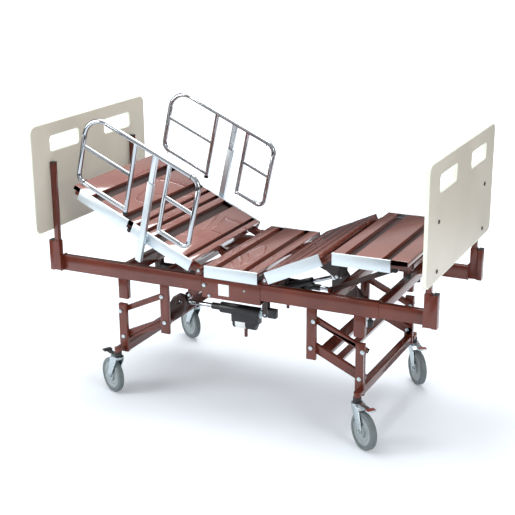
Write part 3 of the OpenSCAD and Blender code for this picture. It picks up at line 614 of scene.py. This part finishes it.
wheelMaster = makeWheel()
for i in casterNumbers:
    centre, axle = jointAxis("wheel_spin_%d" % i)
    mesh = wheelMaster.data.copy()
    turn = Vector((0, 1, 0)).rotation_difference(axle).to_matrix().to_4x4()
    mesh.transform(Matrix.Translation(centre) @ turn)
    wheel = bpy.data.objects.new("casterWheel%d" % i, mesh)
    bpy.context.scene.collection.objects.link(wheel)
    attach(wheel, "wheel_%d" % i)
    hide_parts("caster_wheel_%d" % i)
bpy.data.objects.remove(wheelMaster)


# nuts, labels and small fittings

# a block between two corners with rounded edges
def addBlock(name, low, high, finish, edgeRound=0.001, segments=2):
    deselectAll()
    low, high = Vector(low), Vector(high)
    bpy.ops.mesh.primitive_cube_add(size=1, location=(low + high) / 2, scale=high - low)
    block = bpy.context.object
    block.name = name
    bpy.ops.object.transform_apply(location=True, rotation=True, scale=True)
    block.data.materials.append(finish)
    bpy.ops.object.mode_set(mode="EDIT")
    bpy.ops.mesh.select_all(action="SELECT")
    bpy.ops.mesh.bevel(offset=edgeRound, segments=segments, affect="EDGES")
    bpy.ops.object.mode_set(mode="OBJECT")
    smooth(block, 40)
    return block


# a turned or hexagonal fitting along an axis; steps are (inset, rise) pairs cut into its outer face
def addTurned(name, centre, axis, radius, length, finish, sides=32, steps=(), chamfer=0.0008):
    deselectAll()
    bpy.ops.mesh.primitive_cylinder_add(vertices=sides, radius=radius, depth=length)
    piece = bpy.context.object
    piece.name = name
    piece.data.materials.append(finish)
    selectFaces(piece, lambda c, n: n.z > 0.9)
    bpy.ops.mesh.inset(thickness=chamfer, depth=chamfer * 0.7, use_individual=True)
    for inset, rise in steps:
        bpy.ops.mesh.inset(thickness=inset, depth=rise, use_individual=True)
    bpy.ops.object.mode_set(mode="OBJECT")
    turn = Vector((0, 0, 1)).rotation_difference(Vector(axis)).to_matrix().to_4x4()
    piece.data.transform(Matrix.Translation(Vector(centre)) @ turn)
    smooth(piece, 32)
    return piece


nutShape = {"radius": 0.0085, "height": 0.0045, "standOff": 0.0322}
raceShape = {"radius": 0.026, "height": 0.003, "z": 0.2117}
for i in casterNumbers:
    centre, axle = jointAxis("wheel_spin_%d" % i)
    for side in (-1, 1):
        nut = addTurned("axleNut%d%s" % (i, "A" if side < 0 else "B"), centre + axle * side * nutShape["standOff"],
                        axle * side,
                        nutShape["radius"], nutShape["height"], zincPlatedSteel, 6,
                        ((0.0018, 0.0), (0.0004, 0.0012), (0.002, 0.0)))
        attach(nut, "swivel_%d" % i)
    stem, up = jointAxis("swivel_joint_%d" % i)
    race = addTurned("bearingRace%d" % i, (stem.x, stem.y, raceShape["z"]), (0, 0, -1), raceShape["radius"],
                     raceShape["height"],
                     zincPlatedSteel, 40, ((0.003, -0.001), (0.004, 0.001)))
    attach(race, "swivel_%d" % i)

labelShape = {"low": (-0.068, -0.3916, 0.646), "high": (-0.007, -0.3909, 0.708)}
ratingLabel = addBlock("sleeveLabel", labelShape["low"], labelShape["high"], whiteLabelVinyl, 0.0003, 1)
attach(ratingLabel, "frame")

# a curved label on the near motor: a sleeve of the motor's radius, cut back to a patch that faces outwards
motorLabel = {"centre": (0, -0.242, 0.460), "radius": 0.0334, "low": -0.034, "high": 0.024, "top": 0.480,
              "bottom": 0.4335}


def makeMotorLabel():
    deselectAll()
    bpy.ops.mesh.primitive_cylinder_add(vertices=96, radius=motorLabel["radius"],
                                        depth=motorLabel["high"] - motorLabel["low"],
                                        end_fill_type="NOTHING", rotation=(0, math.pi / 2, 0),
                                        location=((motorLabel["high"] + motorLabel["low"]) / 2,
                                                  motorLabel["centre"][1], motorLabel["centre"][2]))
    label = bpy.context.object
    label.name = "motorLabel"
    bpy.ops.object.transform_apply(location=True, rotation=True, scale=True)
    selectFaces(label, lambda c,
                n: c.y > motorLabel["centre"][1] or not motorLabel["bottom"] < c.z < motorLabel["top"])
    bpy.ops.mesh.delete(type="FACE")
    bpy.ops.object.mode_set(mode="OBJECT")
    film = label.modifiers.new("film", "SOLIDIFY")
    film.thickness = 0.0003
    film.offset = 1
    applyModifiers(label)
    label.data.materials.append(whiteLabelVinyl)
    smooth(label, 40)
    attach(label, "frame")


makeMotorLabel()

# black plugs in the open ends of the guard rails' long uprights
plugShape = {"u": 0.474, "y": 0.440, "top": 0.092, "height": 0.014, "radius": 0.0132, "rake": 0.222}
for side, word in ((-1, "near"), (1, "far")):
    middle = plugShape["top"] - plugShape["height"] / 2
    along = Vector((-backSin + plugShape["rake"] * backCos, 0, -backCos - plugShape["rake"] * backSin))
    plug = addTurned(word + "GuardPlug", onBack(plugShape["u"] + (middle - 0.104) * plugShape["rake"],
                                                side * plugShape["y"], middle), along,
                     plugShape["radius"], plugShape["height"], blackMouldedAbs, 32, ((0.002, 0.001), (0.003, 0.0006)))
    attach(plug, word + "_guard")

# the gusset behind the knee rod, a plate welded across the foot cross tube with its upper corners cut away
gussetShape = {"low": (0.385, 0.030, 0.588), "high": (0.530, 0.036, 0.728), "cornerRound": 0.0008,
               "cuts": (((0.385, 0.66), (0.425, 0.728)), ((0.468, 0.728), (0.530, 0.642)))}


def makeGusset():
    gusset = addBlock("kneeGusset", gussetShape["low"], gussetShape["high"], darkLeverCoat,
                      gussetShape["cornerRound"])
    middle = Vector(((gussetShape["low"][0] + gussetShape["high"][0]) / 2, 0, gussetShape["low"][2]))
    for (x0, z0), (x1, z1) in gussetShape["cuts"]:
        across = Vector((z1 - z0, 0, x0 - x1))
        if across.dot(middle - Vector((x0, 0, z0))) > 0:
            across = -across
        takeUp(gusset)
        bpy.ops.object.mode_set(mode="EDIT")
        bpy.ops.mesh.select_all(action="SELECT")
        bpy.ops.mesh.bisect(plane_co=(x0, 0, z0), plane_no=across, use_fill=True, clear_outer=True)
        bpy.ops.object.mode_set(mode="OBJECT")
    smooth(gusset, 40)
    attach(gusset, "frame")


makeGusset()

# black screws and knobs under the side plates of the raised backrest
knobShape = {"radius": 0.013, "height": 0.022}
# u, y and v in metres, and size
knobPlaces = {"Upper": (0.715, 0.330, -0.036, 1.0), "Middle": (0.436, 0.396, -0.010, 0.8)}
for side, word in ((-1, "Near"), (1, "Far")):
    for tag, (u, across, v, size) in knobPlaces.items():
        down = (-backSin, 0, -backCos)
        knob = addTurned("deckKnob%s%s" % (tag, word), onBack(u, side * across, v), down, knobShape["radius"] * size,
                         knobShape["height"] * size, blackMouldedAbs, 10, ((0.002, 0.001), (0.004, 0.0)))
        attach(knob, "backrest")
print("stage: small fittings made")


# floor and light

studio = {"floorSize": 160.0, "floorColour": "#dfe6ed", "roomColour": "#4a4c50", "floorGlow": 0.10, "farGlow": 0.85,
          "paperRadius": 3.2, "skyStrength": 0.74}
# each lamp's place, what it points at, its width and height in metres, and its watts
softboxes = {
    "overheadBox": ((-0.6, 0.8, 4.6), (0, 0, 0.6), (4.0, 3.0), 240),
    "leftBox": ((-4.2, -3.6, 2.6), (0, 0, 0.7), (2.4, 2.4), 170),
    "rightBox": ((4.6, -2.6, 2.2), (0.4, 0, 0.7), (1.6, 2.6), 90),
    "frontBox": ((-1.6, -5.2, 1.2), (0, 0, 0.7), (3.6, 2.0), 22),
}


def makeStudio():
    deselectAll()
    bpy.ops.mesh.primitive_plane_add(size=studio["floorSize"], location=(0, 0, -0.0005))
    floor = bpy.context.object
    floor.name = "studioFloor"
    # pale paper that glows as painted light, weaker near the bed and stronger away from it
    # what shines sees a dim room painted on the floor beside the paper, a painted reflection, so metal keeps dark
    # edges
    finish, tree, shader, place = startFinish("paperSweep",
                                              {"Base Color": linear(studio["floorColour"]), "Roughness": 0.6,
                                                             "Specular IOR Level": 0.2,
                                               "Emission Color": (1, 1, 1, 1)})
    distance = addNode(tree, "ShaderNodeVectorMath", links={0: (place, "Object")}, operation="LENGTH")
    glow = addNode(tree, "ShaderNodeMapRange", {"From Min": 1.3, "From Max": 5.0, "To Min": studio["floorGlow"],
                                                "To Max": studio["farGlow"]},
                   {"Value": (distance, "Value")})
    outside = addNode(tree, "ShaderNodeMapRange", {"From Min": studio["paperRadius"],
                                                   "From Max": studio["paperRadius"] + 1.0},
                      {"Value": (distance, "Value")}, interpolation_type="SMOOTHSTEP")
    ray = addNode(tree, "ShaderNodeLightPath")
    dim = addNode(tree, "ShaderNodeMath", links={0: (outside, "Result"), 1: (ray, "Is Glossy Ray")},
                  operation="MULTIPLY")
    room = addNode(tree, "ShaderNodeEmission", {"Color": linear(studio["roomColour"]), "Strength": 1.0})
    both = addNode(tree, "ShaderNodeMixShader", links={0: (dim, "Value"), 1: (shader, "BSDF"), 2: (room, "Emission")})
    tree.links.new(glow.outputs["Result"], shader.inputs["Emission Strength"])
    tree.links.new(both.outputs["Shader"],
                   [n for n in tree.nodes if n.type == "OUTPUT_MATERIAL"][0].inputs["Surface"])
    floor.data.materials.append(finish)
    world = bpy.data.worlds.new("softRoom")
    world.use_nodes = True
    tree = world.node_tree
    tree.nodes.clear()
    place = addNode(tree, "ShaderNodeTexCoord")
    split = addNode(tree, "ShaderNodeSeparateXYZ", links={"Vector": (place, "Generated")})
    ramp = addNode(tree, "ShaderNodeValToRGB", links={"Fac": (split, "Z")})
    ramp.color_ramp.elements[0].position = 0.0
    ramp.color_ramp.elements[0].color = (0.10, 0.105, 0.11, 1)
    ramp.color_ramp.elements[1].position = 0.70
    ramp.color_ramp.elements[1].color = (1.0, 1.0, 1.0, 1)
    for height, grey in ((0.14, 0.18), (0.32, 0.62)):
        step = ramp.color_ramp.elements.new(height)
        step.color = (grey, grey * 1.02, grey * 1.05, 1)
    sky = addNode(tree, "ShaderNodeBackground", {"Strength": studio["skyStrength"]}, {"Color": (ramp, "Color")})
    plain = addNode(tree, "ShaderNodeBackground", {"Strength": 1.0, "Color": (1, 1, 1, 1)})
    seen = addNode(tree, "ShaderNodeLightPath")
    both = addNode(tree, "ShaderNodeMixShader", links={"Fac": (seen, "Is Camera Ray")})
    tree.links.new(sky.outputs["Background"], both.inputs[1])
    tree.links.new(plain.outputs["Background"], both.inputs[2])
    addNode(tree, "ShaderNodeOutputWorld", links={"Surface": (both, "Shader")})
    bpy.context.scene.world = world
    bpy.context.scene.view_settings.view_transform = "Standard"


def addSoftbox(name, place, target, size, power):
    data = bpy.data.lights.new(name, "AREA")
    data.shape = "RECTANGLE"
    data.size, data.size_y = size
    data.energy = power
    light = bpy.data.objects.new(name, data)
    bpy.context.scene.collection.objects.link(light)
    light.location = place
    light.rotation_euler = (Vector(target) - Vector(place)).to_track_quat("-Z", "Y").to_euler()
    return light


makeStudio()
for name, (place, target, size, power) in softboxes.items():
    addSoftbox(name, place, target, size, power)
print("stage: studio lit")
